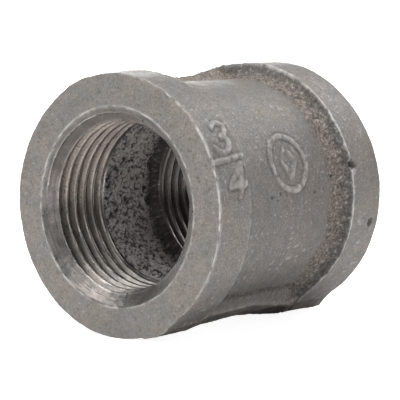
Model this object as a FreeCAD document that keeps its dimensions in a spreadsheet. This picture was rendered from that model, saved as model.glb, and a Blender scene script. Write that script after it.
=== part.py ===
"""Straight banded coupling, 3/4 NPT female at both ends, Class 150 malleable iron.

One casting, threaded from both ends. The bore runs along Y, with the front mouth at -Y and +Z up;
the origin is the middle of the bore. The coupling lies on its side, on the rims of its two bands.
"""
import FreeCAD
import Part
import Sketcher
import math
import os

INCH = 25.4

# Driving dimensions in millimetres and degrees. The band, barrel, length and thread are those of
# ASME B16.3 (Class 150, size 3/4) and ASME B1.20.1.
DIMENSIONS = {
    "overall_length": 1.52 * INCH,
    "band_diameter": 1.458 * INCH,
    "band_width": 0.273 * INCH,
    "barrel_diameter": 33.5,
    "shoulder_radius": 5.0,
    "edge_break": 0.4,
    # The rear band swells beside the upper rib: an arc of its own, off the bore's axis.
    "swell_radius": 17.6,
    "swell_offset": 1.5,
    "swell_angle": 100.0,
    # Two ribs stand in the mould's parting plane, which leans from the vertical.
    "parting_lean": 22.0,
    "rib_width": 3.6,
    "rib_foot_radius": 3.5,
    "rib_foot_angle": 73.0,
    "rib_crest_on_bands": 19.3,
    "rib_crest_at_middle": 18.1,
    "rib_dip_length": 19.0,
    # Each end is drilled straight and tapped with a 1-in-16 taper tap, 14 threads to the inch.
    "drill_diameter": 15 / 16 * INCH,
    # The mouths are countersunk, their walls leaning this far from the axis.
    "mouth_diameter": 27.9,
    "mouth_slope": 60.0,
    "front_thread_length": 11.1,
    "rear_thread_length": 14.3,
    "thread_pitch": INCH / 14,
    "thread_diameter_at_face": 26.568,
    "thread_root_flat": 0.07,
    "thread_half_angle": 30.0,
    "thread_tooth_height": 1.48,
    "taper_angle": math.degrees(math.atan(1 / 32)),
    # Where each groove meets its end face, as an angle about the bore from +X towards +Z.
    "front_thread_start": 272.7,
    "rear_thread_start": 60.0,
    # The rough room between the two threads, left by the core.
    "recess_diameter": 27.4,
    "recess_slope": 0.8,
}

# Shorthand for places that several outlines share, from the dimensions above.
FRONT_FACE = "(-dims.overall_length / 2)"
REAR_FACE = "(dims.overall_length / 2)"
BAND_RADIUS = "(dims.band_diameter / 2)"
BARREL_RADIUS = "(dims.barrel_diameter / 2)"
DRILL_RADIUS = "(dims.drill_diameter / 2)"
MOUTH_RADIUS = "(dims.mouth_diameter / 2)"
RECESS_RADIUS = "(dims.recess_diameter / 2)"


def make_sheet(doc):
    """The spreadsheet that drives every size: a name and a plain number in each row."""
    sheet = doc.addObject("Spreadsheet::Sheet", "dims")
    for row, (name, value) in enumerate(DIMENSIONS.items(), start=1):
        sheet.set(f"A{row}", name)
        sheet.set(f"B{row}", f"{value:.6g}")
        sheet.setAlias(f"B{row}", name)
    doc.recompute()
    return sheet


def origin_feature(body, role):
    """A plane or an axis of the body's own origin."""
    return next(feature for feature in body.Origin.OriginFeatures if feature.Role == role)


def draw_outline(body, plane, name, corners, arcs=None):
    """A sketch of one closed outline whose corners and arc radii are bound to the sheet.

    corners holds two formulas for each corner, across and up. arcs gives the radius formula of a
    side that is an arc, by the number of the corner it leaves, and +1 where the arc swells to the
    left of the way round or -1 where it swells to the right.
    """
    sketch = body.newObject("Sketcher::SketchObject", name)
    sketch.AttachmentSupport = [(origin_feature(body, plane), "")]
    sketch.MapMode = "FlatFace"
    points = [
        FreeCAD.Vector(sketch.evalExpression(across), sketch.evalExpression(up), 0)
        for across, up in corners
    ]
    ends = []
    for side, start in enumerate(points):
        end = points[(side + 1) % len(points)]
        if arcs and side in arcs:
            formula, swell = arcs[side]
            radius = sketch.evalExpression(formula)
            half_chord = (end - start) / 2
            rise = radius - math.sqrt(radius**2 - half_chord.Length**2)
            left = FreeCAD.Vector(-half_chord.y, half_chord.x, 0).normalize()
            crown = start + half_chord + left * swell * rise
            sketch.addGeometry(Part.Arc(start, crown, end))
            ends.append((1, 2) if swell < 0 else (2, 1))
        else:
            sketch.addGeometry(Part.LineSegment(start, end))
            ends.append((1, 2))
    for side, (begins, _) in enumerate(ends):
        before = (side - 1) % len(ends)
        sketch.addConstraint(Sketcher.Constraint("Coincident", before, ends[before][1], side, begins))
        for kind, direction, formula in zip(("DistanceX", "DistanceY"), "xy", corners[side]):
            place = getattr(points[side], direction)
            number = sketch.addConstraint(Sketcher.Constraint(kind, side, begins, place))
            sketch.setExpression(f"Constraints[{number}]", formula)
    for side, (formula, _) in (arcs or {}).items():
        radius = sketch.evalExpression(formula)
        number = sketch.addConstraint(Sketcher.Constraint("Radius", side, radius))
        sketch.setExpression(f"Constraints[{number}]", formula)
    return sketch


def revolve(body, kind, name, sketch, angle=360.0):
    """A revolution or groove of the sketch about the bore's axis."""
    feature = body.newObject(kind, name)
    feature.Profile = sketch
    feature.ReferenceAxis = (sketch, ["H_Axis"])
    feature.Angle = angle
    feature.Refine = False
    return feature


def cast_blank(body):
    """Barrel, bands and the hollow shoulders that join them, without the bore."""
    shoulder_drop = f"({BAND_RADIUS} - {BARREL_RADIUS})"
    shoulder_run = f"sqrt(2 * dims.shoulder_radius * {shoulder_drop} - {shoulder_drop}^2)"
    front_band = f"{FRONT_FACE} + dims.band_width"
    rear_band = f"{REAR_FACE} - dims.band_width"
    corners = [
        (FRONT_FACE, "0"),
        (FRONT_FACE, f"{BAND_RADIUS} - dims.edge_break"),
        (f"{FRONT_FACE} + dims.edge_break", BAND_RADIUS),
        (front_band, BAND_RADIUS),
        (f"{front_band} + {shoulder_run}", BARREL_RADIUS),
        (f"{rear_band} - {shoulder_run}", BARREL_RADIUS),
        (rear_band, BAND_RADIUS),
        (f"{REAR_FACE} - dims.edge_break", BAND_RADIUS),
        (REAR_FACE, f"{BAND_RADIUS} - dims.edge_break"),
        (REAR_FACE, "0"),
    ]
    arcs = {3: ("dims.shoulder_radius", -1), 5: ("dims.shoulder_radius", -1)}
    sketch = draw_outline(body, "YZ_Plane", "blank_outline", corners, arcs)
    return revolve(body, "PartDesign::Revolution", "blank", sketch)


def rear_swell(body):
    """The swell on the rear band, between its shoulder and the break of its end face."""
    sketch = body.newObject("Sketcher::SketchObject", "swell_outline")
    sketch.AttachmentSupport = [(origin_feature(body, "XZ_Plane"), "")]
    sketch.MapMode = "FlatFace"
    across = sketch.evalExpression("dims.swell_offset * cos(dims.swell_angle)")
    up = sketch.evalExpression("dims.swell_offset * sin(dims.swell_angle)")
    radius = DIMENSIONS["swell_radius"]
    sketch.addGeometry(Part.Circle(FreeCAD.Vector(across, up, 0), FreeCAD.Vector(0, 0, 1), radius))
    constraints = (
        (("DistanceX", 0, 3, across), "dims.swell_offset * cos(dims.swell_angle)"),
        (("DistanceY", 0, 3, up), "dims.swell_offset * sin(dims.swell_angle)"),
        (("Radius", 0, radius), "dims.swell_radius"),
    )
    for constraint, formula in constraints:
        number = sketch.addConstraint(Sketcher.Constraint(*constraint))
        sketch.setExpression(f"Constraints[{number}]", formula)
    sketch.setExpression("AttachmentOffset.Base.z", f"-({REAR_FACE} - dims.band_width)")
    pad = body.newObject("PartDesign::Pad", "rear_swell")
    pad.Profile = sketch
    pad.Reversed = True
    pad.setExpression("Length", "dims.band_width - dims.edge_break")
    return pad


def ribs(body):
    """Two opposite ribs along the whole casting, flared into the barrel at their feet."""
    half_width = "(dims.rib_width / 2)"
    foot_across = f"({half_width} + dims.rib_foot_radius * (1 - cos(dims.rib_foot_angle)))"
    foot_up = f"(sqrt({BARREL_RADIUS}^2 - {foot_across}^2) - 0.05)"
    flare_up = f"({foot_up} + dims.rib_foot_radius * sin(dims.rib_foot_angle))"
    top = "(dims.rib_crest_on_bands + 1)"
    corners = [
        (half_width, top),
        (half_width, flare_up),
        (foot_across, foot_up),
        (foot_across, f"-{foot_up}"),
        (half_width, f"-{flare_up}"),
        (half_width, f"-{top}"),
        (f"-{half_width}", f"-{top}"),
        (f"-{half_width}", f"-{flare_up}"),
        (f"-{foot_across}", f"-{foot_up}"),
        (f"-{foot_across}", foot_up),
        (f"-{half_width}", flare_up),
        (f"-{half_width}", top),
    ]
    arcs = {side: ("dims.rib_foot_radius", -1) for side in (1, 3, 7, 9)}
    sketch = draw_outline(body, "XZ_Plane", "rib_section", corners, arcs)
    sketch.AttachmentOffset = FreeCAD.Placement(
        FreeCAD.Vector(), FreeCAD.Rotation(FreeCAD.Vector(0, 0, 1), DIMENSIONS["parting_lean"])
    )
    sketch.setExpression("AttachmentOffset.Rotation.Angle", "dims.parting_lean")
    pad = body.newObject("PartDesign::Pad", "rib_pad")
    pad.Profile = sketch
    pad.Midplane = True
    pad.setExpression("Length", "dims.overall_length")
    return pad


def rib_crests(body):
    """Trims the ribs: level over the bands, broken at the end faces, dipped at mid-length."""
    crest = "dims.rib_crest_on_bands"
    dip = f"({crest} - dims.rib_crest_at_middle)"
    half_dip = "(dims.rib_dip_length / 2)"
    dip_radius = f"({half_dip}^2 + {dip}^2) / (2 * {dip})"
    clear = f"({crest} + 5)"
    corners = [
        (f"{FRONT_FACE} - dims.edge_break", f"{crest} - 2 * dims.edge_break"),
        (f"{FRONT_FACE} + dims.edge_break", crest),
        (f"-{half_dip}", crest),
        (half_dip, crest),
        (f"{REAR_FACE} - dims.edge_break", crest),
        (f"{REAR_FACE} + dims.edge_break", f"{crest} - 2 * dims.edge_break"),
        (f"{REAR_FACE} + dims.edge_break", clear),
        (f"{FRONT_FACE} - dims.edge_break", clear),
    ]
    sketch = draw_outline(body, "YZ_Plane", "crest_outline", corners, {2: (dip_radius, -1)})
    return revolve(body, "PartDesign::Groove", "rib_crest_trim", sketch)


def bore(body):
    """Countersunk and drilled from both ends, with the core's wider room between them.

    It is cut a quarter turn at a time, so each wall is four faces.
    """
    sink = f"(({MOUTH_RADIUS} - {DRILL_RADIUS}) / tan(dims.mouth_slope))"
    front_end = f"{FRONT_FACE} + dims.front_thread_length"
    rear_end = f"{REAR_FACE} - dims.rear_thread_length"
    corners = [
        (FRONT_FACE, "0"),
        (FRONT_FACE, MOUTH_RADIUS),
        (f"{FRONT_FACE} + {sink}", DRILL_RADIUS),
        (front_end, DRILL_RADIUS),
        (f"{front_end} + dims.recess_slope", RECESS_RADIUS),
        (f"{rear_end} - dims.recess_slope", RECESS_RADIUS),
        (rear_end, DRILL_RADIUS),
        (f"{REAR_FACE} - {sink}", DRILL_RADIUS),
        (REAR_FACE, MOUTH_RADIUS),
        (REAR_FACE, "0"),
    ]
    sketch = draw_outline(body, "YZ_Plane", "bore_outline", corners)
    quarter = revolve(body, "PartDesign::Groove", "bore_quarter", sketch, 90.0)
    body.Document.recompute()
    pattern = body.newObject("PartDesign::PolarPattern", "bore_quarters")
    pattern.Originals = [quarter]
    pattern.Axis = (origin_feature(body, "Y_Axis"), [""])
    pattern.Angle = 360
    pattern.Occurrences = 4
    pattern.Refine = False
    body.Tip = pattern
    return pattern


def wind_tap(doc, sheet, end, thread_length):
    """The right-hand taper groove of one thread, as a solid that a tap would sweep out.

    It is wound about +Y from its deep end, at the origin, to one pitch past the mouth, and it
    widens 1 in 16 on diameter. A straight-flanked 60-degree section is swept along it.
    """
    pitch = sheet.thread_pitch
    depth = thread_length + sheet.recess_slope + pitch / 2
    root = sheet.thread_diameter_at_face / 2 - depth * math.tan(math.radians(sheet.taper_angle))
    inside = root - sheet.thread_tooth_height
    half_flat = sheet.thread_root_flat / 2
    half_mouth = half_flat + sheet.thread_tooth_height * math.tan(math.radians(sheet.thread_half_angle))
    path = Part.makeLongHelix(pitch, depth + pitch, root, sheet.taper_angle)
    section = Part.makePolygon(
        [
            FreeCAD.Vector(root, 0, -half_flat),
            FreeCAD.Vector(root, 0, half_flat),
            FreeCAD.Vector(inside, 0, half_mouth),
            FreeCAD.Vector(inside, 0, -half_mouth),
            FreeCAD.Vector(root, 0, -half_flat),
        ]
    )
    tap = doc.addObject("Part::Feature", f"{end}_tap")
    tap.Shape = path.makePipeShell([section], True, True)
    return tap, depth


def place_taps(doc, sheet):
    """Both taps at their mouths: the front one faces -Y and the rear one +Y.

    Each is turned about the bore until its groove meets the end face at its own start.
    """
    half_length = sheet.overall_length / 2
    front, front_depth = wind_tap(doc, sheet, "front", sheet.front_thread_length)
    rear, rear_depth = wind_tap(doc, sheet, "rear", sheet.rear_thread_length)
    toward_front = FreeCAD.Rotation(FreeCAD.Vector(1, 0, 0), 90)
    toward_rear = FreeCAD.Rotation(FreeCAD.Vector(1, 0, 0), -90)
    front_turn = 360 * front_depth / sheet.thread_pitch - sheet.front_thread_start
    rear_turn = -360 * rear_depth / sheet.thread_pitch - sheet.rear_thread_start
    front.Placement = FreeCAD.Placement(
        FreeCAD.Vector(0, front_depth - half_length, 0),
        FreeCAD.Rotation(FreeCAD.Vector(0, 1, 0), front_turn) * toward_front,
    )
    rear.Placement = FreeCAD.Placement(
        FreeCAD.Vector(0, half_length - rear_depth, 0),
        FreeCAD.Rotation(FreeCAD.Vector(0, 1, 0), rear_turn) * toward_rear,
    )
    return front, rear


def tap_casting(doc, body, taps):
    """The finished coupling: the machined casting less the two thread grooves."""
    coupling = doc.addObject("Part::Feature", "coupling_body")
    coupling.Shape = body.Shape.cut(taps[0].Shape).cut(taps[1].Shape).Solids[0]
    coupling.Placement = FreeCAD.Placement()
    return coupling


def check_document(doc):
    """Stops the build where any object failed."""
    for item in doc.Objects:
        bad = {"Invalid", "Error"} & set(item.State)
        if bad:
            raise RuntimeError(f"{item.Name} is {', '.join(bad)}")


def check_step(name, change, sense):
    """Stops the build where a step added or removed the wrong way, or nothing."""
    print(f"{name}: {change:+.1f} mm3")
    if change * sense <= 0:
        raise RuntimeError(f"{name} changed the volume by {change:.3f} mm3")


def build():
    """The coupling, step by step, each compared in volume with the one before."""
    doc = FreeCAD.newDocument("coupling")
    sheet = make_sheet(doc)
    body = doc.addObject("PartDesign::Body", "machined_casting")
    volume = 0.0
    for step, sense in ((cast_blank, +1), (rear_swell, +1), (ribs, +1), (rib_crests, -1), (bore, -1)):
        feature = step(body)
        doc.recompute()
        check_document(doc)
        check_step(feature.Name, feature.Shape.Volume - volume, sense)
        volume = feature.Shape.Volume
    taps = place_taps(doc, sheet)
    coupling = tap_casting(doc, body, taps)
    doc.recompute()
    check_document(doc)
    check_step("threads", coupling.Shape.Volume - volume, -1)
    return coupling


def write(part):
    """Checks the finished sub-part and writes it under its own name."""
    shape = part.Shape
    if shape.isNull() or not shape.isValid() or len(shape.Solids) != 1:
        raise RuntimeError(f"{part.Label} is not one valid solid")
    os.makedirs("parts", exist_ok=True)
    shape.exportStep(f"parts/{part.Label}.step")
    box = shape.optimalBoundingBox(False, False)
    print(f"{part.Label}: {box.XLength:.2f} x {box.YLength:.2f} x {box.ZLength:.2f} mm")


write(build())
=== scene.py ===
"""Looks of the straight banded pipe coupling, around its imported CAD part.

The casting is one closed mesh that stands for the CAD node. It is a grid: its columns go round the bore,
and its rows follow the outline along the outside, over each end face and back through the threads and the
rough room between them. Lengths are millimetres until the mesh is made. Angles about the bore run from
+X towards +Z. They are degrees, but for phi, which is in radians.
"""

import math

import bpy
import numpy as np
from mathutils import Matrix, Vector


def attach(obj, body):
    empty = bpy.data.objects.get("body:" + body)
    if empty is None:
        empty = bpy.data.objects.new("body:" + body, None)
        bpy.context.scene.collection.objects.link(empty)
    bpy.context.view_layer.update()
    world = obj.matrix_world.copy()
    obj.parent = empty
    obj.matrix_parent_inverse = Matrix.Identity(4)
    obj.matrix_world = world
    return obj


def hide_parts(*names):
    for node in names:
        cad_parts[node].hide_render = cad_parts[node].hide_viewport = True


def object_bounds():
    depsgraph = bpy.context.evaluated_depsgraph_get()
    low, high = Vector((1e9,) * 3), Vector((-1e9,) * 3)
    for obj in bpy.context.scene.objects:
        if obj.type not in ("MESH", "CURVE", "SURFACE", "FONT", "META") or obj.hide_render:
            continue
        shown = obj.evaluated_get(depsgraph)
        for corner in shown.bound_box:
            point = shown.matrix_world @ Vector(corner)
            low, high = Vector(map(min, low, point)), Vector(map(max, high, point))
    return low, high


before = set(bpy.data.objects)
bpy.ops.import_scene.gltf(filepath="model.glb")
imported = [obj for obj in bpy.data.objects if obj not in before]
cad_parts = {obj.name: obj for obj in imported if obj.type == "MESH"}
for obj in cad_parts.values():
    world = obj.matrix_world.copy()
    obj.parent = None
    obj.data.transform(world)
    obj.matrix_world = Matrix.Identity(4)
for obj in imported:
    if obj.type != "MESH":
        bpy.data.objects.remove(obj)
cad_low, cad_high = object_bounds()

MM = 0.001
COLUMNS = 640

# Outside. The bands' circle keeps a little inside the CAD box's side, and the rear band's swell is an
# arc beyond the circle.
BOX_MARGIN = 0.02
HALF_LENGTH = cad_high.y / MM
BAND_RADIUS = cad_high.x / MM - BOX_MARGIN
BAND_WIDTH = 6.93
BARREL_RADIUS = 16.75
SHOULDER_RADIUS = 5.0
SHOULDER_DROP = BAND_RADIUS - BARREL_RADIUS
SHOULDER_RUN = math.sqrt(2 * SHOULDER_RADIUS * SHOULDER_DROP - SHOULDER_DROP**2)
SWELL_RADIUS = 17.58
SWELL_OFFSET = 1.5
SWELL_ANGLE = 100.0

# Ribs, with the angles past which the lower crest falls, and both crests' heights along the bore.
UPPER_RIB_ANGLE = 112.0
LOWER_RIB_ANGLE = -68.0
LOWER_RIB_NEAR_SIDE = 3.0
LOWER_CREST_FALLS_FAR = -62
LOWER_CREST_FALLS_NEAR = -67
RIB_HALF_WIDTH = 1.8
RIB_FOOT_RADIUS = 3.5
RIB_FOOT_SWING = 73
RIB_FLARE_UP = 19.49
CREST_Y = (-19.4, -12.0, -9.7, -6.6, -3.5, 0.3, 4.1, 7.5, 11.0, 15.0, 19.4)
LOWER_CREST = (19.0, 19.05, 18.8, 18.75, 18.62, 18.62, 18.87, 19.35, 19.5, 19.6, 19.75)
UPPER_CREST = (18.1, 18.6, 18.4, 18.1, 17.95, 17.8, 18.05, 18.5, 19.15, 19.6, 19.75)

# Bore. The tap's grooves have their roots at the root radius at an end face, and taper inwards.
MOUTH_RADIUS = 13.95
MOUTH_SLOPE = math.tan(math.radians(60))
MOUTH_SHIFT = 0.35
MOUTH_SHIFT_ANGLE = 222
DRILL_RADIUS = 11.906
CORE_RADIUS = 13.7
PITCH = 25.4 / 14
ROOT_RADIUS = 13.284
ROOT_FLAT = 0.05
TAPER = 1 / 32
FLANK_SLOPE = math.tan(math.radians(30))
TAP_FADE = 1.6
FRONT_THREAD = 11.1
REAR_THREAD = 14.3
# Each end's thread: its length, the angle where its groove meets the end face, and rows to a turn.
THREADS = {-1: (FRONT_THREAD, 272.7, 20), +1: (REAR_THREAD, 60.0, 18)}

# Radii of the cylinders that noise is sampled on. The pits' arcs are measured on the skin's.
SKIN_CYLINDER = 17.5
MARK_CYLINDER = 17.0
EDGE_CYLINDER = 18.5
THREAD_CYLINDER = 12.5

# Sectors about the bore where wear, dirt, painted shade and a painted highlight lie: the middle's angle
# and the spread.
RIGHT_SIDE = (12, 50)
THREAD_LOW_LEFT = (205, 48)
DRILLED_LEFT = (175, 62)
SINK_TOP = (110, 60)
# Painted shade on the sink's lower right.
SINK_LOW_RIGHT_SHADE = (292, 32)
# A painted highlight on the front sink.
SINK_HIGHLIGHT = (200, 16)
BORE_BOTTOM = (287, 24)
MOUTH_WORN = (228, 42)
FACE_RIM_WORN = (235, 32)
LIP_WORN = (248, 22)

# ---------------------------------------------------------------- noise and blending


def hashed(x, y, z, seed):
    """A fixed number from 0 to 1 for each lattice cell, mixed by large odd numbers."""
    h = (x * 374761393 + y * 668265263 + z * 144269504 + seed * 974634777) & 0xFFFFFFFF
    h = ((h ^ (h >> 13)) * 1274126177) & 0xFFFFFFFF
    h = ((h ^ (h >> 15)) * 1103515245) & 0xFFFFFFFF
    return ((h ^ (h >> 16)) & 0xFFFFFF) / float(0xFFFFFF)


def value_noise(p, size, seed):
    """Smooth noise from -1 to 1 with features of that size, at points p."""
    q = p / size
    cell = np.floor(q).astype(np.int64)
    f = q - cell
    f = f * f * f * (f * (f * 6 - 15) + 10)
    total = np.zeros(p.shape[:-1])
    for corner in range(8):
        dx, dy, dz = corner & 1, corner >> 1 & 1, corner >> 2 & 1
        weight = (
            (f[..., 0] if dx else 1 - f[..., 0])
            * (f[..., 1] if dy else 1 - f[..., 1])
            * (f[..., 2] if dz else 1 - f[..., 2])
        )
        total += weight * hashed(cell[..., 0] + dx, cell[..., 1] + dy, cell[..., 2] + dz, seed)
    return total * 2 - 1


def layered_noise(p, size, seed):
    """Noise of three sizes, each half the one before."""
    return sum(value_noise(p, size / 2**k, seed + k) / 2**k for k in range(3)) / 1.5


def grains(p, size, seed):
    """Packed rounded grains of that size: 1 at a grain's middle, about 0 between grains."""
    q = p / size
    cell = np.floor(q).astype(np.int64)
    nearest = np.full(p.shape[:-1], 9.0)
    for step in range(27):
        dx, dy, dz = step % 3 - 1, step // 3 % 3 - 1, step // 9 - 1
        cx, cy, cz = cell[..., 0] + dx, cell[..., 1] + dy, cell[..., 2] + dz
        away = (
            (cx + hashed(cx, cy, cz, seed) - q[..., 0]) ** 2
            + (cy + hashed(cx, cy, cz, seed + 1) - q[..., 1]) ** 2
            + (cz + hashed(cx, cy, cz, seed + 2) - q[..., 2]) ** 2
        )
        nearest = np.minimum(nearest, away)
    return np.clip(1 - np.sqrt(nearest), 0, 1)


def step_up(low, high, x):
    """0 at low and 1 at high, with a smooth change between them. It falls where low is the larger."""
    t = np.clip((x - low) / (high - low), 0, 1)
    return t * t * (3 - 2 * t)


def clip_share(x):
    """Kept from 0 to 1."""
    return np.clip(x, 0, 1)


def soft_max(a, b, width):
    """The larger of two, blended over a width."""
    h = np.clip(0.5 + 0.5 * (a - b) / width, 0, 1)
    return b + (a - b) * h + width * h * (1 - h)


def soft_min(a, b, width):
    return -soft_max(-a, -b, width)


def bump_at(x, centre, width):
    return np.exp(-(((x - centre) / width) ** 2))


def turn_from(phi, centre):
    """Signed angle from a centre, in degrees."""
    return (np.degrees(phi) - centre + 180) % 360 - 180


def within(phi, sector, least=0.0):
    """1 at the sector's middle, and down to the least away from it."""
    middle, spread = sector
    return least + (1 - least) * bump_at(turn_from(phi, middle), 0, spread)


def at_radius(y, phi, radius):
    """Points at a place along the bore and an angle about it."""
    return np.stack(np.broadcast_arrays(radius * np.cos(phi), y, radius * np.sin(phi)), axis=-1)


# ---------------------------------------------------------------- raised marks


def to_strokes(across, up, strokes):
    """Distance from the nearest of some polylines."""
    nearest = np.full(across.shape, 99.0)
    for line in strokes:
        for (x0, y0), (x1, y1) in zip(line, line[1:]):
            dx, dy = x1 - x0, y1 - y0
            t = np.clip(((across - x0) * dx + (up - y0) * dy) / (dx * dx + dy * dy), 0, 1)
            nearest = np.minimum(nearest, np.hypot(across - x0 - t * dx, up - y0 - t * dy))
    return nearest


def arc(cx, cy, rx, ry, start, end):
    return [
        (cx + rx * math.cos(math.radians(a)), cy + ry * math.sin(math.radians(a)))
        for a in np.linspace(start, end, 14)
    ]


THREE = [arc(0, 1.1, 1.35, 1.15, 160, -80), arc(0, -1.15, 1.6, 1.25, 80, -160)]
BAR = [[(-3.7, -0.3), (2.6, 0.3)]]
FOUR = [[(0.6, 2.1), (-1.5, -0.8), (1.7, -0.8)], [(0.75, 2.1), (0.75, -2.2)]]
# Each figure on the front band: its strokes, its middle's y and angle, and its half width.
FIGURES = (
    (THREE, -15.5, 33.4, 0.36),
    (BAR, -15.2, 23.2, 0.26),
    (FOUR, -14.7, 14.2, 0.36),
)
FIGURE_LEAN = 0.27

DIAMOND = [[(0, 2.2), (1.5, 0), (0, -2.2), (-1.5, 0), (0, 2.2)]]
RING_Y = -0.1
RING_ANGLE = 20.0
RING_RADIUS = 4.0
# How far from a stroke's middle line it is at full height, gone, and at its foot, which painted shade
# darkens.
RING_STROKE = (0.16, 0.55, 0.58)
# The radius at which distance from the ring is measured for the rougher skin about it.
RING_SKIN_RADIUS = 16.9


def raised_marks(y, phi):
    """Heights of the size figures on the front band and of the plain ring on the barrel.

    Also where their feet are darkened with painted shade, and the sunk floor inside the ring.
    """
    lines = []
    for strokes, middle_y, angle, width in FIGURES:
        up = np.radians(turn_from(phi, angle)) * BAND_RADIUS
        away = to_strokes(y - middle_y - FIGURE_LEAN * up, up, strokes)
        lines.append((away, width - 0.2, width + 0.3, width + 0.26, 1.0))
    up = np.radians(turn_from(phi, RING_ANGLE)) * BARREL_RADIUS
    from_middle = np.hypot(y - RING_Y, up)
    lines.append((np.abs(from_middle - RING_RADIUS), *RING_STROKE, 1.0))
    lines.append((to_strokes(y - RING_Y, up, DIAMOND), *RING_STROKE, 0.8))

    p = at_radius(y, phi, MARK_CYLINDER)
    wobble = 0.11 * value_noise(p, 0.9, 71) + 0.08 * value_noise(p, 0.4, 72)
    height = np.zeros(y.shape)
    foot = np.zeros(y.shape)
    for away, full, gone, foot_at, share in lines:
        away = away + wobble
        height = np.maximum(height, share * (1 - step_up(full, gone, away)))
        foot = np.maximum(foot, share * bump_at(away, foot_at, 0.2))
    inside_ring = 1 - step_up(RING_RADIUS - 0.5, RING_RADIUS - 0.1, from_middle)
    return height, foot, inside_ring


# ---------------------------------------------------------------- outside

# Small holes in the skin: y, angle, radius and depth.
PITS = (
    (-5.2, 4.0, 0.24, 0.3),
    (-3.3, 5.4, 0.24, 0.3),
    (-4.0, 2.4, 0.16, 0.15),
    (5.0, 4.1, 0.26, 0.25),
    (17.4, -13.0, 0.54, 0.9),
    (12.9, 15.0, 0.8, 0.8),
    (12.7, 13.2, 0.4, 0.5),
    (9.4, 10.6, 0.4, 0.3),
    (-14.2, 205.0, 0.3, 0.3),
    (4.5, 170.0, 0.3, 0.25),
    (16.1, 250.0, 0.3, 0.3),
)


def rib_flank(phi, centre, near_side):
    """How far out the flared side of an untrimmed rib stands at each angle.

    The side towards +X reaches further round by the near side's degrees.
    """
    swing = np.radians(np.linspace(0, RIB_FOOT_SWING, 40))
    across = RIB_HALF_WIDTH + RIB_FOOT_RADIUS * (1 - np.cos(swing))
    up = RIB_FLARE_UP - RIB_FOOT_RADIUS * np.sin(swing)
    turn = turn_from(phi, centre)
    away = np.maximum(np.where(turn > 0, turn - near_side, -turn), 0)
    angles = np.degrees(np.arctan2(across, up))
    reach = np.hypot(across, up)
    well_above, well_below = 23.0, 16.2
    return np.interp(away, [0, *angles, angles[-1] + 1.5], [well_above, *reach, well_below])


def swell_radius(phi):
    """Reach of the rear band's swell, an arc about a centre off the bore's axis."""
    turn = np.radians(turn_from(phi, SWELL_ANGLE))
    aside = SWELL_OFFSET * np.sin(turn)
    return SWELL_OFFSET * np.cos(turn) + np.sqrt(SWELL_RADIUS**2 - aside**2)


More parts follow.
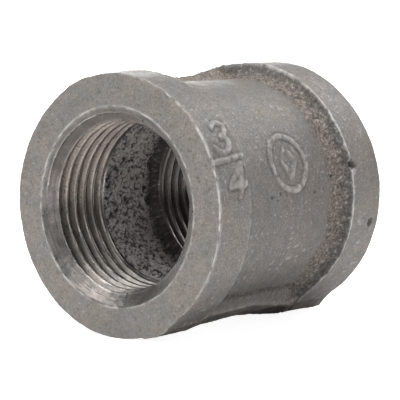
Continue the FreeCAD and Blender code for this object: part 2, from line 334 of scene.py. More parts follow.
class Skin:
    """The cast outside at places along and about the bore: its radius, and its finish's masks."""

    def __init__(self, y, phi):
        self.y = y
        self.phi = phi
        self.deg = turn_from(phi, 0.0)
        self.p = at_radius(y, phi, SKIN_CYLINDER)
        self.chatter = value_noise(self.p, 0.6, 14)
        self.inward = self.past_band_edge()
        self.between = step_up(-0.15, 0.1, self.inward)
        self.radius = self.bands_and_barrel()
        self.add_ribs()
        self.find_rough()
        self.add_texture()
        self.add_marks()
        self.add_burr()
        self.add_pits()

    def past_band_edge(self):
        """How far a place is past the nearer band's edge, towards the middle.

        The cast edges are ragged, and the rear band is wider low on the side towards +X.
        """
        ragged = 0.2 * value_noise(self.p, 1.5, 11) + 0.12 * value_noise(self.p, 0.55, 12)
        drift = -1.3 * bump_at(self.deg, -50, 22) + 0.25 * bump_at(self.deg, 60, 20) + ragged
        rear_edge = HALF_LENGTH - BAND_WIDTH + drift - 0.1
        front_edge = BAND_WIDTH - HALF_LENGTH + 0.3 * ragged
        return np.minimum(self.y - front_edge, rear_edge - self.y)

    def bands_and_barrel(self):
        """The radius without the ribs. The front band has a flat on its upper left and a bulge on top."""
        from_barrel = np.clip(SHOULDER_RUN - self.inward, 0, SHOULDER_RUN)
        hollow = BARREL_RADIUS + SHOULDER_RADIUS - np.sqrt(SHOULDER_RADIUS**2 - from_barrel**2)
        rear_band = soft_max(swell_radius(self.phi), BAND_RADIUS, 0.1)
        front_band = BAND_RADIUS - 0.16 * bump_at(self.deg, 143, 20)
        front_band = front_band + 0.32 * bump_at(self.deg, 99, 9) * step_up(-18.5, -13.5, self.y)
        band = np.where(self.y > 0, rear_band, front_band)
        return np.where(self.inward < 0, band, hollow)

    def add_ribs(self):
        """Blends both ribs in. The lower crest falls to each side, and more steeply near the rear."""
        uneven = 0.1 * value_noise(self.p, 2.2, 21)
        upper_crest = np.interp(self.y, CREST_Y, UPPER_CREST) + uneven
        lower_crest = np.interp(self.y, CREST_Y, LOWER_CREST) + uneven
        near_slope = 0.06 + 0.16 * step_up(7.0, 14.0, self.y)
        lower_crest = lower_crest - 0.045 * np.clip(LOWER_CREST_FALLS_FAR - self.deg, 0, 14)
        lower_crest = lower_crest - near_slope * np.clip(self.deg - LOWER_CREST_FALLS_NEAR, 0, 16)
        upper_flank = rib_flank(self.phi, UPPER_RIB_ANGLE, 0.0)
        lower_flank = rib_flank(self.phi, LOWER_RIB_ANGLE, LOWER_RIB_NEAR_SIDE)
        self.upper, upper_foot = self.add_rib(upper_flank, upper_crest)
        self.lower, lower_foot = self.add_rib(lower_flank, lower_crest)
        self.off_rib = 1 - np.maximum(self.upper, self.lower)
        self.foot_of_rib = np.maximum(upper_foot, lower_foot) * self.between
        # A painted highlight along the lower crest's near edge.
        self.lower_crest_highlight = self.lower * bump_at(lower_flank - lower_crest, 0.0, 0.3)
        self.on_lower_crest = self.lower * step_up(0.0, 0.4, lower_flank - lower_crest)

    def add_rib(self, flank, crest):
        """Blends one rib in, and gives where it stands and where its foot runs."""
        rib = soft_min(flank, crest, 0.4)
        proud = rib - self.radius
        self.radius = soft_max(self.radius, rib, np.where(self.inward < 0, 1.1, 0.3))
        return step_up(-0.3, 0.25, proud), bump_at(proud, 0.0, 0.3)

    def find_rough(self):
        """Where the skin is sandy: the rear shoulder, some of the front one, and along the ribs."""
        wander = 0.5 * value_noise(self.p, 1.6, 31)
        rear = step_up(SHOULDER_RUN + 0.4, SHOULDER_RUN - 0.7, self.inward + wander)
        front = 0.3 * step_up(SHOULDER_RUN - 0.6, SHOULDER_RUN - 2.2, self.inward)
        self.rear_rough = rear * (self.y > 0) * self.between
        self.rough = np.maximum.reduce([
            self.rear_rough,
            front * (self.y < 0) * self.between,
            0.9 * self.upper * step_up(-3.5, 0.5, self.inward),
            0.35 * self.lower,
            0.9 * self.foot_of_rib,
        ])

    def add_texture(self):
        """Adds the skin's gentle swells, the sandy grains and scattered grit."""
        smooth = 1 - self.rough
        self.lumps = grains(self.p, 0.72, 41) + 0.55 * grains(self.p, 0.42, 44)
        patches = step_up(-0.3, 0.4, value_noise(self.p, 4.0, 62))
        self.grit = step_up(0.55, 0.8, value_noise(self.p, 0.45, 61)) * patches * smooth
        height = 0.035 * value_noise(self.p, 5.0, 1) + 0.022 * value_noise(self.p, 1.7, 2)
        height += 0.02 * layered_noise(self.p, 0.8, 3) * smooth
        height += self.rough * (0.32 * (self.lumps - 0.62) + 0.08 * layered_noise(self.p, 0.5, 47))
        self.radius = self.radius + height + 0.035 * self.grit

    def add_marks(self):
        """Adds the raised figures and ring, worn unevenly, and the rougher skin about the ring."""
        marks, foot, inside_ring = raised_marks(self.y, self.phi)
        broken = value_noise(self.p, 0.6, 73)
        up = np.radians(turn_from(self.phi, RING_ANGLE)) * RING_SKIN_RADIUS
        near_ring = bump_at(np.hypot(self.y - RING_Y, up), 3.0, 2.6) * (self.y > -7)
        height = (0.19 + 0.07 * broken) * marks - 0.05 * inside_ring - 0.06 * foot
        height += 0.08 * near_ring * (grains(self.p, 0.6, 75) - 0.5)
        self.radius = self.radius + height
        self.mark_wear = 0.4 * marks * clip_share(0.6 + broken)
        # Painted shade along the marks' feet.
        self.mark_foot_shade = 0.55 * foot * clip_share(0.7 + broken)

    def add_burr(self):
        """Adds the low burr along the rear band's edge."""
        burr = bump_at(self.inward, -0.12, 0.17) * (self.y > 0) * self.off_rib
        self.radius = self.radius + 0.08 * burr * (0.6 + 0.8 * value_noise(self.p, 0.7, 13))

    def add_pits(self):
        """Sinks the small holes."""
        self.hole = np.zeros(self.y.shape)
        uneven = 0.3 * value_noise(self.p, 0.3, 51)
        for pit_y, pit_angle, pit_radius, depth in PITS:
            up = np.radians(turn_from(self.phi, pit_angle)) * SKIN_CYLINDER
            away = np.hypot(self.y - pit_y, up) / pit_radius + uneven
            here = 1 - step_up(0.55, 1.15, away)
            self.radius = self.radius - depth * here
            self.hole = np.maximum(self.hole, here)

    def wear_and_highlight(self):
        """Where the skin is lighter: its edges, grains, grit and marks, rubbed bright, and a painted
        highlight along the lower crest's near edge.
        """
        rear_edge = 0.9 * bump_at(self.inward, -0.1, 0.16) * (self.y > 0) * self.off_rib
        rear_edge = rear_edge * (1 - 0.85 * bump_at(self.deg, 105, 28))
        front_edge = 0.3 * bump_at(self.inward, 0.0, 0.3) * (self.y < 0) * self.off_rib
        front_end = bump_at(self.y + HALF_LENGTH, 0.1, 0.28) * within(self.phi, RIGHT_SIDE, 0.15)
        return np.maximum.reduce([
            rear_edge * clip_share(0.85 + 0.8 * self.chatter),
            front_edge * step_up(-0.3, 0.5, self.chatter),
            front_end * clip_share(0.65 + self.chatter),
            0.35 * self.rough * step_up(0.95, 1.2, self.lumps),
            0.3 * self.grit,
            self.mark_wear,
            # The painted highlight along the lower crest's near edge.
            0.3 * self.lower_crest_highlight * self.between * clip_share(0.8 + 0.6 * self.chatter),
        ])

    def grime_and_shade(self, near_band):
        """Where the skin is dark: painted shade in the holes, the gaps between sandy grains, the marks'
        feet, the barrel's lower side and the lower rib's foot, and dirt with painted shade on the
        shoulder next to the rear band.

        The lower rib's crest has scale all along, and painted shade is deepest where the crest hollows.
        """
        hollow_edge = -59.5 - 9 * ((self.y - 6.5) / 6) ** 2
        # The lower crest: scale all along, and painted shade where it hollows near the floor.
        crest_scale_and_shade = np.maximum(0.25, 0.97 * step_up(hollow_edge + 0.8, hollow_edge - 1.2, self.deg))
        # Painted shade on the barrel's lower side.
        underside_shade = step_up(30, -5, self.deg) * step_up(-75, -45, self.deg)
        return np.maximum.reduce([
            # Painted shade in the holes.
            self.hole,
            crest_scale_and_shade * self.on_lower_crest,
            0.17 * underside_shade * self.between,
            # Painted shade along the lower rib's foot.
            0.4 * self.foot_of_rib * (self.deg < 0),
            # Dirt and painted shade on the shoulder next to the rear band.
            0.42 * near_band,
            # Painted shade in the gaps between the sandy grains.
            0.85 * self.rough * step_up(0.62, 0.2, self.lumps),
            self.mark_foot_shade,
        ])

    def masks(self):
        # Next to the rear band the skin darkens with dirt and painted shade.
        near_band = self.rear_rough * step_up(2.0, 0.3, self.inward + 0.5 * self.chatter)
        dust = self.rear_rough * (1 - near_band)
        return {
            "rough": self.rough,
            "wear_and_highlight": self.wear_and_highlight(),
            "grime_and_shade": self.grime_and_shade(near_band),
            "tan": dust + 0.8 * self.upper * self.between + 0.5 * self.foot_of_rib,
        }


# ---------------------------------------------------------------- bore


def mouth_radius(phi, end):
    """The countersink's rim, which stands a little off centre at the front."""
    if end > 0:
        return MOUTH_RADIUS + 0 * phi
    towards_shift = clip_share(np.cos(phi - math.radians(MOUTH_SHIFT_ANGLE)))
    return MOUTH_RADIUS + MOUTH_SHIFT * towards_shift**1.5


class Bore:
    """The drilled, countersunk and tapped bore near one end: its radius, and its finish's masks."""

    def __init__(self, y, phi, end):
        length, start, _ = THREADS[end]
        self.phi = phi
        self.end = end
        self.depth = HALF_LENGTH - end * y
        turns = (y - end * HALF_LENGTH) / PITCH + turn_from(phi, start) / 360
        self.to_groove = (turns - np.round(turns)) * PITCH
        self.groove_depth = self.depth + end * self.to_groove

        sink = mouth_radius(phi, end) - self.depth * MOUTH_SLOPE
        plain = np.maximum(sink, DRILL_RADIUS)
        self.p = at_radius(y, phi, plain)
        self.on_sink = step_up(DRILL_RADIUS + 0.05, DRILL_RADIUS + 0.3, sink)

        groove = ROOT_RADIUS - self.depth * TAPER
        groove = groove - np.maximum(np.abs(self.to_groove) - ROOT_FLAT, 0) / FLANK_SLOPE
        groove = groove - TAP_FADE * (1 - step_up(length + 0.9, length - 0.6, self.depth))
        self.sunk = groove - plain
        self.started = 1 - self.on_sink * step_up(0.6, 0.42, self.groove_depth)
        self.cut = step_up(-0.03, 0.1, self.sunk) * self.started

        self.torn = value_noise(at_radius(y * 3, phi, THREAD_CYLINDER), 0.5, 81)
        radius = soft_max(plain, groove, 0.05)
        radius = radius + 0.02 * self.torn * (1 - self.cut) + 0.008 * layered_noise(self.p, 0.5, 83)
        dents = 0.03 * value_noise(self.p, 0.6, 86) * (sink > DRILL_RADIUS)
        self.radius = radius + dents * (1 - self.cut)

    def wear_and_highlight(self):
        """Where metal shines: the crests' edges and the mouth's rim, rubbed bright, and a painted
        highlight on the front sink.
        """
        crest = bump_at(self.sunk, 0.0, 0.12 + 0.14 * self.on_sink) * self.started
        outer_flank = self.end * self.to_groove > 0
        crest = crest * np.where(outer_flank, 1.0, 0.4 * (1 - self.on_sink))
        crest = crest * (1.0 if self.end < 0 else 0.55)
        rim = bump_at(self.depth, 0.0, 0.12) * within(self.phi, MOUTH_WORN, 0.4)
        return clip_share(np.maximum.reduce([
            crest * (0.85 + 0.5 * self.torn),
            0.9 * rim * (0.7 + 0.8 * self.torn),
            # The painted highlight on the front sink.
            0.14 * self.on_sink * within(self.phi, SINK_HIGHLIGHT) * (self.end < 0),
        ]))

    def grime_and_shade(self):
        """Where the bore is dark: painted shade in the groove roots, the first turn's groove, the sink's
        lower right and the rear thread's deep part; spots, a stain low on the left, dull drilled sides,
        and darker at the sink's top and towards the bottom.
        """
        uncut = 1 - self.cut
        # Painted shade in the groove roots and along the root line.
        roots = step_up(0.45, 0.12, np.abs(self.to_groove)) * self.cut
        root_line = bump_at(self.to_groove, 0.0, 0.1) * step_up(0.0, 0.2, self.sunk)
        # Painted shade in the first turn's groove.
        first_turn = step_up(0.4, 0.6, self.groove_depth) * step_up(1.1, 0.95, self.groove_depth)
        spots = step_up(0.2, 0.6, value_noise(self.p, 0.45, 85)) * uncut * (1 - 0.75 * self.on_sink)
        drilled = (0.42 - 0.25 * np.abs(value_noise(self.p, 1.5, 87))) * uncut * (1 - self.on_sink)
        # The sink is darker at its top, and painted shade darkens its lower right.
        sink = 0.06 + 0.45 * within(self.phi, SINK_TOP) + 0.35 * within(self.phi, SINK_LOW_RIGHT_SHADE)
        sink = (sink + 0.1 * value_noise(self.p, 2.0, 87)) * self.on_sink * uncut
        return np.maximum.reduce([
            0.8 * roots,
            0.65 * within(self.phi, THREAD_LOW_LEFT) * step_up(0.1, 0.9, self.sunk),
            0.7 * root_line,
            0.7 * self.cut * first_turn,
            0.45 * spots,
            drilled * within(self.phi, DRILLED_LEFT),
            sink,
            0.4 * within(self.phi, BORE_BOTTOM),
            # Painted shade in the rear thread's deep part.
            0.9 * step_up(2.5, 8.0, self.depth) * (self.end > 0),
        ])

    def masks(self):
        away_from_top = np.abs(turn_from(self.phi, 120))
        return {
            "rough": 0 * self.radius,
            "wear_and_highlight": self.wear_and_highlight(),
            "grime_and_shade": self.grime_and_shade(),
            "tan": step_up(130, 60, away_from_top) * step_up(1.3, 1.9, self.depth),
        }


CORE_FRONT = FRONT_THREAD - HALF_LENGTH
CORE_REAR = HALF_LENGTH - REAR_THREAD


def core_room(y, phi):
    """Radius of the rough room that the core left between the threads, and its masks, with painted shade
    in the crevices and at the step to the rear thread, and painted highlights on the lumps' tops.
    """
    p = at_radius(y, phi, CORE_RADIUS)
    bend = np.stack([value_noise(p, 0.8, seed) for seed in (90, 91, 92)], axis=-1)
    bent = p + 0.26 * bend
    lump = grains(bent, 0.48, 93) + 0.5 * grains(bent, 0.3, 97)
    body = layered_noise(bent, 0.9, 100)
    gap = step_up(0.82, 0.5, lump + 0.15 * body)
    height = 0.42 * (lump - 0.6) - 0.1 * gap + 0.14 * body + 0.12 * layered_noise(p, 1.8, 88)
    rise = step_up(CORE_FRONT - 0.15, CORE_FRONT + 0.75, y) * step_up(CORE_REAR + 0.1, CORE_REAR - 0.8, y)
    edge = DRILL_RADIUS + 0.25
    radius = edge + (CORE_RADIUS - edge) * rise - height * (0.12 + 0.88 * rise)
    # Painted shade in the crevices, and painted highlights on the lumps' tops.
    crevice_shade = clip_share(0.9 * gap + 0.5 * step_up(-0.1, -0.6, body)) * (0.4 + 0.6 * rise)
    lump_top_highlight = step_up(0.86, 1.1, lump + 0.2 * body) * rise
    lip = bump_at(y, CORE_FRONT, 0.3) * (0.2 + 0.7 * within(phi, LIP_WORN))
    return radius, {
        "rough": 0 * radius + 1,
        "wear_and_highlight": np.maximum(lump_top_highlight, lip),
        # Painted shade in the crevices and at the step to the rear thread.
        "grime_and_shade": np.maximum(crevice_shade, 0.95 * step_up(CORE_REAR - 2.4, CORE_REAR - 0.8, y)),
        "tan": 0 * radius,
    }


# ---------------------------------------------------------------- rows of the mesh

# The skin's rows, closest on the sandy shoulder: start, end and step. The worn edges are beyond them.
EDGE_LENGTH = 0.32
SKIN_ROWS = (
    (EDGE_LENGTH - HALF_LENGTH, 7.0, 0.17),
    (7.14, 13.4, 0.14),
    (13.6, HALF_LENGTH - EDGE_LENGTH, 0.18),
)
# The worn edge's rows: how far each leans over, in degrees, and how bright it is worn.
EDGE_LEAN = (15, 35, 55, 72, 88)
EDGE_WEAR = (0.6, 0.9, 1, 1, 0.7)
EDGE_INSET = 0.01
# The face's rows, as shares of the way from its edge to the mouth.
FACE_SHARES = (0.03, 0.07, *np.linspace(0.12, 0.95, 20), 0.98, 1.0)
FACE_INSET = 0.02
FACE_RIM_INSET = 0.03
THREAD_ROWS_FROM = 0.06
CORE_ROW = 0.13
phi = (np.arange(COLUMNS) * 2 * np.pi / COLUMNS)[None, :]


def spaced(start, end, step):
    """One column of places along the bore."""
    return np.linspace(start, end, max(2, round(abs(end - start) / step) + 1))[:, None]


def skin_rows():
    """The skin, from its front edge to its rear edge."""
    y = np.concatenate([spaced(*rows) for rows in SKIN_ROWS]) + 0 * phi
    skin = Skin(y, phi + 0 * y)
    return skin.radius, y, skin.masks()


def edge_rows(end):
    """The worn rounding between the skin and an end face, from the skin to the face."""
    skin_y = end * (HALF_LENGTH - EDGE_LENGTH) + 0 * phi
    skin = Skin(skin_y, phi)
    p = at_radius(skin_y, phi, EDGE_CYLINDER)
    size = 0.13 + 0.07 * value_noise(p, 1.2, 15) + 0.06 * value_noise(p, 0.5, 16)
    lean = np.radians(np.array(EDGE_LEAN))[:, None]
    radius = skin.radius - size * (1 - np.cos(lean))
    y = end * (HALF_LENGTH - EDGE_INSET - size * (1 - np.sin(lean)))
    chatter = clip_share(0.65 + 0.9 * value_noise(at_radius(y, phi, EDGE_CYLINDER), 0.8, 17))
    masks = skin.masks()
    return radius, y, {
        "rough": 0.3 * masks["rough"],
        "wear_and_highlight": np.array(EDGE_WEAR)[:, None] * chatter * within(phi, RIGHT_SIDE, 0.2),
        "grime_and_shade": masks["grime_and_shade"],
        "tan": 0 * radius,
    }


def face_rows(end, outer):
    """The machined end face, from the skin's edge to the mouth."""
    share = np.array(FACE_SHARES)[:, None]
    inner = mouth_radius(phi, end)
    radius = outer + (inner - outer) * share
    p = at_radius(end * HALF_LENGTH, phi, radius)
    at_mouth = share == 1.0
    y = end * (HALF_LENGTH - FACE_INSET + 0.016 * layered_noise(p, 1.6, 18) - FACE_RIM_INSET * at_mouth)
    rim = 1.3 * bump_at(radius, inner, 0.16) * within(phi, FACE_RIM_WORN, 0.5)
    edge = 0.5 * bump_at(radius, outer, 0.1) * within(phi, RIGHT_SIDE, 0.2)
    return radius, y, {
        "rough": 0 * radius,
        "wear_and_highlight": clip_share(0.6 + 0.8 * value_noise(p, 0.8, 19)) * np.maximum(rim, edge),
        "grime_and_shade": 0 * radius,
        "tan": 0 * radius,
    }


def thread_rows(end):
    """The mouth and thread of one end, from the mouth inwards."""
    length, _, rows_to_a_turn = THREADS[end]
    y = end * (HALF_LENGTH - spaced(THREAD_ROWS_FROM, length + 0.1, PITCH / rows_to_a_turn)) + 0 * phi
    bore = Bore(y, phi + 0 * y, end)
    return bore.radius, y, bore.masks()


def core_rows():
    """The room between the threads, from the rear to the front."""
    y = spaced(CORE_REAR - 0.2, CORE_FRONT + 0.2, CORE_ROW) + 0 * phi
    radius, masks = core_room(y, phi + 0 * y)
    return radius, y, masks


# ---------------------------------------------------------------- one closed mesh

SKIN, FACE, THREAD, CORE = range(4)
MASKS = ("rough", "wear_and_highlight", "grime_and_shade", "tan")
stretches = []


def add_stretch(material, radius, y, masks, backwards=False):
    """Adds rows to the outline, which goes round from the front edge to the front edge again."""
    whole = np.zeros(radius.shape)
    fields = {"material": material + whole, "radius": radius, "y": y + whole}
    for name in MASKS:
        fields[name] = masks[name] + whole
    if backwards:
        fields = {name: field[::-1] for name, field in fields.items()}
    stretches.append(fields)


front_edge = edge_rows(-1)
rear_edge = edge_rows(+1)
front_face = face_rows(-1, front_edge[0][-1])
rear_face = face_rows(+1, rear_edge[0][-1])
add_stretch(SKIN, *front_edge, backwards=True)
add_stretch(SKIN, *skin_rows())
add_stretch(SKIN, *rear_edge)
add_stretch(FACE, *rear_face)
add_stretch(THREAD, *thread_rows(+1))
add_stretch(CORE, *core_rows())
add_stretch(THREAD, *thread_rows(-1), backwards=True)
add_stretch(FACE, *front_face, backwards=True)
grid = {name: np.concatenate([fields[name] for fields in stretches]) for name in stretches[0]}

# The mesh stays inside the CAD box.
SIDE_CLEARANCE = 0.002
END_CLEARANCE = 0.001
radius = grid["radius"]
x = np.clip(radius * np.cos(phi), cad_low.x / MM + SIDE_CLEARANCE, cad_high.x / MM - SIDE_CLEARANCE)
z = np.clip(radius * np.sin(phi), cad_low.z / MM + SIDE_CLEARANCE, cad_high.z / MM - SIDE_CLEARANCE)
y = np.clip(grid["y"], END_CLEARANCE - HALF_LENGTH, HALF_LENGTH - END_CLEARANCE)
rows = len(radius)

corner = np.arange(rows * COLUMNS).reshape(rows, COLUMNS)
below = np.roll(corner, -1, axis=0)
right = np.roll(corner, -1, axis=1)
across = np.roll(right, -1, axis=0)
quads = np.stack([corner, right, across, below], axis=-1).reshape(-1, 4)

mesh = bpy.data.meshes.new("coupling_casting")
mesh.vertices.add(rows * COLUMNS)
mesh.vertices.foreach_set("co", (np.stack([x, y, z], axis=-1) * MM).astype(np.float32).ravel())
mesh.loops.add(len(quads) * 4)
mesh.loops.foreach_set("vertex_index", quads.astype(np.int32).ravel())
mesh.polygons.add(len(quads))
mesh.polygons.foreach_set("loop_start", np.arange(0, len(quads) * 4, 4, dtype=np.int32))
mesh.polygons.foreach_set("material_index", grid["material"].astype(np.int32).ravel())
mesh.polygons.foreach_set("use_smooth", np.ones(len(quads), dtype=bool))
mesh.update(calc_edges=True)
for name in MASKS:
    layer = mesh.attributes.new(name, "FLOAT", "POINT")
    layer.data.foreach_set("value", grid[name].astype(np.float32).ravel())

# A flat layout of the skin and bore, with the turn across and the outline up.
down = np.hypot(np.diff(radius, axis=0, append=radius[:1]), np.diff(y, axis=0, append=y[:1])).mean(axis=1)
up = np.concatenate([[0], np.cumsum(down)]) / down.sum()
column = np.arange(COLUMNS + 1) / COLUMNS
u = np.broadcast_to(column[:-1], (rows, COLUMNS))
v = np.broadcast_to(up[:-1, None], (rows, COLUMNS))
u_next = np.broadcast_to(column[1:], (rows, COLUMNS))
v_next = np.broadcast_to(up[1:, None], (rows, COLUMNS))
uv = np.stack([u, v, u_next, v, u_next, v_next, u, v_next], axis=-1)
layout = mesh.uv_layers.new(name="OFBake")
layout.data.foreach_set("uv", uv.astype(np.float32).ravel())
mesh.validate()

# ---------------------------------------------------------------- materials

# Sockets of a colour Mix node, whose names repeat.
MIX_A, MIX_B, MIX_RESULT = 6, 7, 2


def tone(level, warmth):
    """A warm grey of that linear level."""
    return (level * (1 + 0.065 * warmth), level * (1 - 0.008 * warmth), level * (1 - 0.065 * warmth), 1)


class Surface:
    """A Principled material built up from sockets."""

    def __init__(self, name, metallic):
        self.material = bpy.data.materials.new(name)
        self.material.use_nodes = True
        self.tree = self.material.node_tree
        self.shader = self.tree.nodes["Principled BSDF"]
        self.shader.inputs["Metallic"].default_value = metallic
        self.place = self.tree.nodes.new("ShaderNodeTexCoord").outputs["Object"]

    def join(self, source, target):
        if isinstance(source, bpy.types.NodeSocket):
            self.tree.links.new(source, target)
        else:
            target.default_value = source

    def mask(self, name):
        node = self.tree.nodes.new("ShaderNodeAttribute")
        node.attribute_name = name
        return node.outputs["Fac"]

    def noise_on(self, vector, size, detail, roughness):
        node = self.tree.nodes.new("ShaderNodeTexNoise")
        self.join(vector, node.inputs["Vector"])
        node.inputs["Scale"].default_value = 1 / (size * MM)
        node.inputs["Detail"].default_value = detail
        node.inputs["Roughness"].default_value = roughness
        return node.outputs["Fac"]

    def noise(self, size, detail, roughness):
        return self.noise_on(self.place, size, detail, roughness)

    def rings(self, size):
        """Fine lathe marks that run round the bore and change slowly across it."""
        across = self.tree.nodes.new("ShaderNodeVectorMath")
        across.operation = "MULTIPLY"
        self.join(self.place, across.inputs[0])
        across.inputs[1].default_value = (1, 0, 1)
        reach = self.tree.nodes.new("ShaderNodeVectorMath")
        reach.operation = "LENGTH"
        self.join(across.outputs["Vector"], reach.inputs[0])
        apart = self.tree.nodes.new("ShaderNodeSeparateXYZ")
        self.join(self.place, apart.inputs[0])
        spot = self.tree.nodes.new("ShaderNodeCombineXYZ")
        self.join(reach.outputs["Value"], spot.inputs["X"])
        self.join(apart.outputs["Y"], spot.inputs["Y"])
        self.join(self.times(apart.outputs["X"], 0.06), spot.inputs["Z"])
        return self.noise_on(spot.outputs[0], size, 3.0, 0.5)

    def between(self, value, low, high, start, end):
        """Goes from start to end as a value goes from low to high."""
        node = self.tree.nodes.new("ShaderNodeMapRange")
        self.join(value, node.inputs["Value"])
        for key, number in (("From Min", low), ("From Max", high), ("To Min", start), ("To Max", end)):
            node.inputs[key].default_value = number
        return node.outputs["Result"]

    def sum_or_product(self, operation, a, b):
        node = self.tree.nodes.new("ShaderNodeMath")
        node.operation = operation
        self.join(a, node.inputs[0])
        self.join(b, node.inputs[1])
        return node.outputs[0]

    def times(self, a, b):
        return self.sum_or_product("MULTIPLY", a, b)

    def plus(self, a, b):
        return self.sum_or_product("ADD", a, b)

    def blend(self, share, a, b):
        node = self.tree.nodes.new("ShaderNodeMix")
        node.data_type = "RGBA"
        self.join(share, node.inputs["Factor"])
        self.join(a, node.inputs[MIX_A])
        self.join(b, node.inputs[MIX_B])
        return node.outputs[MIX_RESULT]

    def coat(self, colour, value, low, high, most, over):
        """Lays another colour over one, up to its most, as a value goes from low to high."""
        return self.blend(self.between(value, low, high, 0.0, most), colour, over)

    def bump(self, height, distance, normal=None):
        node = self.tree.nodes.new("ShaderNodeBump")
        node.inputs["Strength"].default_value = 1.0
        node.inputs["Distance"].default_value = distance * MM
        self.join(height, node.inputs["Height"])
        if normal is not None:
            self.join(normal, node.inputs["Normal"])
        return node.outputs["Normal"]

    def finish(self, colour, roughness, normal):
        self.join(colour, self.shader.inputs["Base Color"])
        self.join(roughness, self.shader.inputs["Roughness"])
        self.join(normal, self.shader.inputs["Normal"])
        return self.material


def cast_skin():
    """Grey scale with warm clouds, dark and light specks, sandy patches, dirt and painted shade, and
    bright wear and painted highlights.
    """
    s = Surface("cast_skin", 0.5)
    wear_and_highlight, rough, grime_and_shade, tan = s.mask("wear_and_highlight"), s.mask("rough"), s.mask("grime_and_shade"), s.mask("tan")
    fine = s.noise(0.24, 4.0, 0.8)
    grit = s.noise(0.36, 2.0, 0.6)
    grain = s.noise(0.4, 3.0, 0.75)
    patch = s.noise(1.4, 3.0, 0.6)
    cloud = s.noise(5.0, 4.0, 0.6)
    colour = s.coat(tone(0.236, 0.6), cloud, 0.38, 0.62, 1.0, tone(0.256, 1.9))
    colour = s.coat(colour, patch, 0.4, 0.7, 0.4, tone(0.17, 1.2))
    colour = s.blend(s.times(tan, 0.8), colour, tone(0.32, 2.8))
    colour = s.coat(colour, fine, 0.4, 0.6, 0.75, tone(0.12, 1.2))
    colour = s.coat(colour, fine, 0.42, 0.3, 0.5, tone(0.42, 1.0))
    colour = s.coat(colour, grit, 0.64, 0.71, 0.55, tone(0.55, 0.8))
    colour = s.coat(colour, grit, 0.35, 0.27, 0.7, tone(0.06, 1.4))
    colour = s.blend(s.times(rough, s.between(grain, 0.44, 0.6, 0.0, 0.8)), colour, tone(0.08, 2.0))
    # Dirt and painted shade darken; wear and painted highlights lighten.
    colour = s.blend(s.times(grime_and_shade, 0.9), colour, tone(0.03, 1.5))
    colour = s.blend(s.times(wear_and_highlight, 0.85), colour, tone(0.7, 0.6))
    dull = s.plus(s.between(patch, 0.3, 0.7, 0.46, 0.6), s.times(rough, 0.15))
    dull = s.plus(dull, s.times(wear_and_highlight, -0.12))
    normal = s.bump(fine, 0.1)
    normal = s.bump(grit, 0.11, normal)
    normal = s.bump(s.times(rough, grain), 0.24, normal)
    return s.finish(colour, dull, normal)


def machined_face():
    """A faced end, gone dull, with warm patches and small spots."""
    s = Surface("machined_face", 0.55)
    wear_and_highlight = s.mask("wear_and_highlight")
    fine = s.noise(0.24, 4.0, 0.8)
    spot = s.noise(0.5, 2.0, 0.6)
    patch = s.noise(1.1, 3.0, 0.6)
    cloud = s.noise(2.6, 4.0, 0.65)
    colour = s.coat(tone(0.25, 0.5), cloud, 0.36, 0.64, 1.0, tone(0.3, 1.9))
    colour = s.coat(colour, patch, 0.5, 0.68, 0.5, tone(0.18, 2.0))
    colour = s.coat(colour, fine, 0.4, 0.62, 0.55, tone(0.14, 1.4))
    colour = s.coat(colour, fine, 0.42, 0.3, 0.3, tone(0.5, 1.0))
    colour = s.coat(colour, spot, 0.6, 0.7, 0.55, tone(0.09, 2.0))
    colour = s.coat(colour, spot, 0.36, 0.26, 0.4, tone(0.55, 1.0))
    colour = s.blend(s.times(wear_and_highlight, 0.85), colour, tone(0.7, 0.6))
    dull = s.plus(s.between(cloud, 0.3, 0.7, 0.44, 0.56), s.times(wear_and_highlight, -0.12))
    normal = s.bump(fine, 0.08)
    normal = s.bump(spot, 0.06, normal)
    return s.finish(colour, dull, normal)


def cut_thread():
    """Brighter cut metal with lathe rings, warm dust, dirt and painted shade in the grooves, and a
    painted highlight on the sink.
    """
    s = Surface("cut_thread", 0.8)
    wear_and_highlight, grime_and_shade, tan = s.mask("wear_and_highlight"), s.mask("grime_and_shade"), s.mask("tan")
    fine = s.noise(0.25, 4.0, 0.75)
    spot = s.noise(0.5, 2.0, 0.6)
    cloud = s.noise(2.0, 4.0, 0.65)
    ring = s.rings(0.16)
    colour = s.coat(tone(0.18, 0.6), cloud, 0.38, 0.62, 1.0, tone(0.32, 1.4))
    colour = s.blend(s.times(tan, 0.6), colour, tone(0.36, 2.8))
    colour = s.coat(colour, fine, 0.42, 0.64, 0.65, tone(0.11, 2.0))
    colour = s.coat(colour, spot, 0.58, 0.7, 0.6, tone(0.06, 2.0))
    # Dirt and painted shade darken; wear and a painted highlight lighten.
    colour = s.blend(s.times(grime_and_shade, 0.88), colour, tone(0.035, 2.6))
    colour = s.blend(s.times(wear_and_highlight, 0.85), colour, tone(0.75, 0.8))
    colour = s.coat(colour, ring, 0.5, 0.66, 0.4, tone(0.07, 1.6))
    dull = s.plus(s.between(cloud, 0.3, 0.7, 0.26, 0.38), s.times(wear_and_highlight, -0.06))
    normal = s.bump(ring, 0.05)
    normal = s.bump(spot, 0.03, normal)
    return s.finish(colour, dull, normal)


def core_iron():
    """Pale sand-cast iron with painted shade in its crevices and painted highlights on its lumps."""
    s = Surface("core_iron", 0.35)
    grime_and_shade, wear_and_highlight = s.mask("grime_and_shade"), s.mask("wear_and_highlight")
    fine = s.noise(0.35, 4.0, 0.8)
    colour = s.coat(tone(0.86, 0.7), fine, 0.4, 0.6, 0.8, tone(0.38, 1.0))
    # Painted shade darkens the crevices; painted highlights lighten the lumps' tops.
    colour = s.blend(s.times(grime_and_shade, 0.93), colour, tone(0.03, 1.2))
    colour = s.blend(s.times(wear_and_highlight, 0.6), colour, tone(0.6, 0.8))
    return s.finish(colour, s.between(fine, 0.3, 0.7, 0.42, 0.6), s.bump(fine, 0.22))


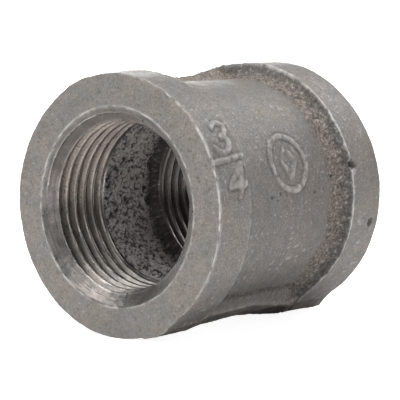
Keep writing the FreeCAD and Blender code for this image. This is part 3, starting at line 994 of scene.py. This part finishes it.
casting = bpy.data.objects.new("coupling_casting", mesh)
bpy.context.scene.collection.objects.link(casting)
for material in (cast_skin(), machined_face(), cut_thread(), core_iron()):
    mesh.materials.append(material)
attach(casting, "root")
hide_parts("coupling_body")

# ---------------------------------------------------------------- floor and wall

# The stage's reach, in metres.
REACH = 2.0
WALL_SIDES = 24
FLOOR = [(x * REACH, y * REACH, cad_low.z) for x, y in ((-1, -1), (1, -1), (1, 1), (-1, 1))]


def plain_material(name, albedo):
    """A matt white stage material, and its shader for the light that a stage piece may give out."""
    material = bpy.data.materials.new(name)
    material.use_nodes = True
    shader = material.node_tree.nodes["Principled BSDF"]
    shader.inputs["Base Color"].default_value = (albedo, albedo, albedo, 1)
    shader.inputs["Roughness"].default_value = 0.9
    shader.inputs["Specular IOR Level"].default_value = 0.1
    shader.inputs["Emission Color"].default_value = (1, 1, 1, 1)
    return material, shader


def stage_piece(name, corners, faces, material):
    shape = bpy.data.meshes.new(name)
    shape.from_pydata(corners, [], faces)
    shape.materials.append(material)
    piece = bpy.data.objects.new(name, shape)
    bpy.context.scene.collection.objects.link(piece)
    return piece


def hide_from_light(piece):
    """Leaves a stage piece for the camera only."""
    piece.visible_diffuse = False
    piece.visible_glossy = False
    piece.visible_shadow = False


# The sheet that the part stands on gives light back to it from below.
sheet_material, _ = plain_material("white_sheet", 0.9)
sheet = stage_piece("sheet", FLOOR, [(0, 1, 2, 3)], sheet_material)
sheet.location.z = -0.05 * MM
sheet.visible_camera = False

# The floor that is seen lies just above the sheet, and only the camera sees it. It glows white, a little
# less near the part, so a shadow on it stays faint.
floor_material, floor_shader = plain_material("pale_floor", 0.5)
tree = floor_material.node_tree
far_off = tree.nodes.new("ShaderNodeVectorMath")
far_off.operation = "LENGTH"
tree.links.new(tree.nodes.new("ShaderNodeTexCoord").outputs["Object"], far_off.inputs[0])
glow = tree.nodes.new("ShaderNodeMapRange")
for key, number in (("From Min", 0.03), ("From Max", 0.12), ("To Min", 0.9), ("To Max", 1.0)):
    glow.inputs[key].default_value = number
tree.links.new(far_off.outputs["Value"], glow.inputs["Value"])
tree.links.new(glow.outputs["Result"], floor_shader.inputs["Emission Strength"])
hide_from_light(stage_piece("floor", FLOOR, [(0, 1, 2, 3)], floor_material))

# A plain white wall all round, closed by a flat top.
wall_material, wall_shader = plain_material("white_wall", 0.5)
wall_shader.inputs["Emission Strength"].default_value = 1.0
turns = [2 * math.pi * k / WALL_SIDES for k in range(WALL_SIDES)]
wall_corners = [(REACH * math.cos(a), REACH * math.sin(a), z) for z in (cad_low.z, REACH) for a in turns]
wall_corners.append((0, 0, REACH))
wall_faces = []
for k in range(WALL_SIDES):
    after = (k + 1) % WALL_SIDES
    wall_faces.append((k, after, WALL_SIDES + after, WALL_SIDES + k))
    wall_faces.append((WALL_SIDES + k, WALL_SIDES + after, 2 * WALL_SIDES))
hide_from_light(stage_piece("wall", wall_corners, wall_faces, wall_material))

# ---------------------------------------------------------------- light and camera


def aimed(name, data, azimuth, elevation, distance):
    """A lamp or camera at a distance from the part, facing it."""
    a, e = math.radians(azimuth), math.radians(elevation)
    back = Vector((math.sin(a) * math.cos(e), -math.cos(a) * math.cos(e), math.sin(e)))
    holder = bpy.data.objects.new(name, data)
    holder.location = back * distance
    holder.rotation_euler = (-back).to_track_quat("-Z", "Y").to_euler()
    bpy.context.scene.collection.objects.link(holder)
    return holder


world = bpy.data.worlds.new("studio")
world.use_nodes = True
world.node_tree.nodes["Background"].inputs["Color"].default_value = (1, 1, 1, 1)
world.node_tree.nodes["Background"].inputs["Strength"].default_value = 0.02
bpy.context.scene.world = world

# Sizes in metres. Each light has a name, an azimuth, an elevation and its watts.
LIGHT_DISTANCE = 1.0
LIGHT_SIZE = 0.5
LIGHTS = (
    ("left_high", -40.0, 46.0, 3.7),
    ("front_high", -10.0, 37.0, 1.2),
    ("above", 0.0, 88.0, 10.3),
    ("front", 45.0, 28.0, 1.5),
    ("right", 90.0, 4.0, 3.9),
    ("left", -90.0, 4.0, 2.0),
    ("behind", 180.0, 28.0, 3.0),
    ("behind_left", -135.0, 4.0, 7.6),
)
for name, azimuth, elevation, watts in LIGHTS:
    lamp = bpy.data.lights.new(name, "AREA")
    lamp.shape = "DISK"
    lamp.size = LIGHT_SIZE
    lamp.energy = watts
    aimed(name, lamp, azimuth, elevation, LIGHT_DISTANCE)

CAMERA_AZIMUTH = 38.61
CAMERA_ELEVATION = 5.90
CAMERA_DISTANCE = 0.26776
FOCAL_LENGTH = 164.2
SHIFT_X = -0.00501
SHIFT_Y = -0.01153
lens = bpy.data.cameras.new("camera")
lens.sensor_width = 36
lens.lens = FOCAL_LENGTH
lens.shift_x = SHIFT_X
lens.shift_y = SHIFT_Y
lens.clip_start = 0.01
camera = aimed("camera", lens, CAMERA_AZIMUTH, CAMERA_ELEVATION, CAMERA_DISTANCE)
bpy.context.scene.camera = camera
bpy.context.scene.view_settings.view_transform = "Standard"
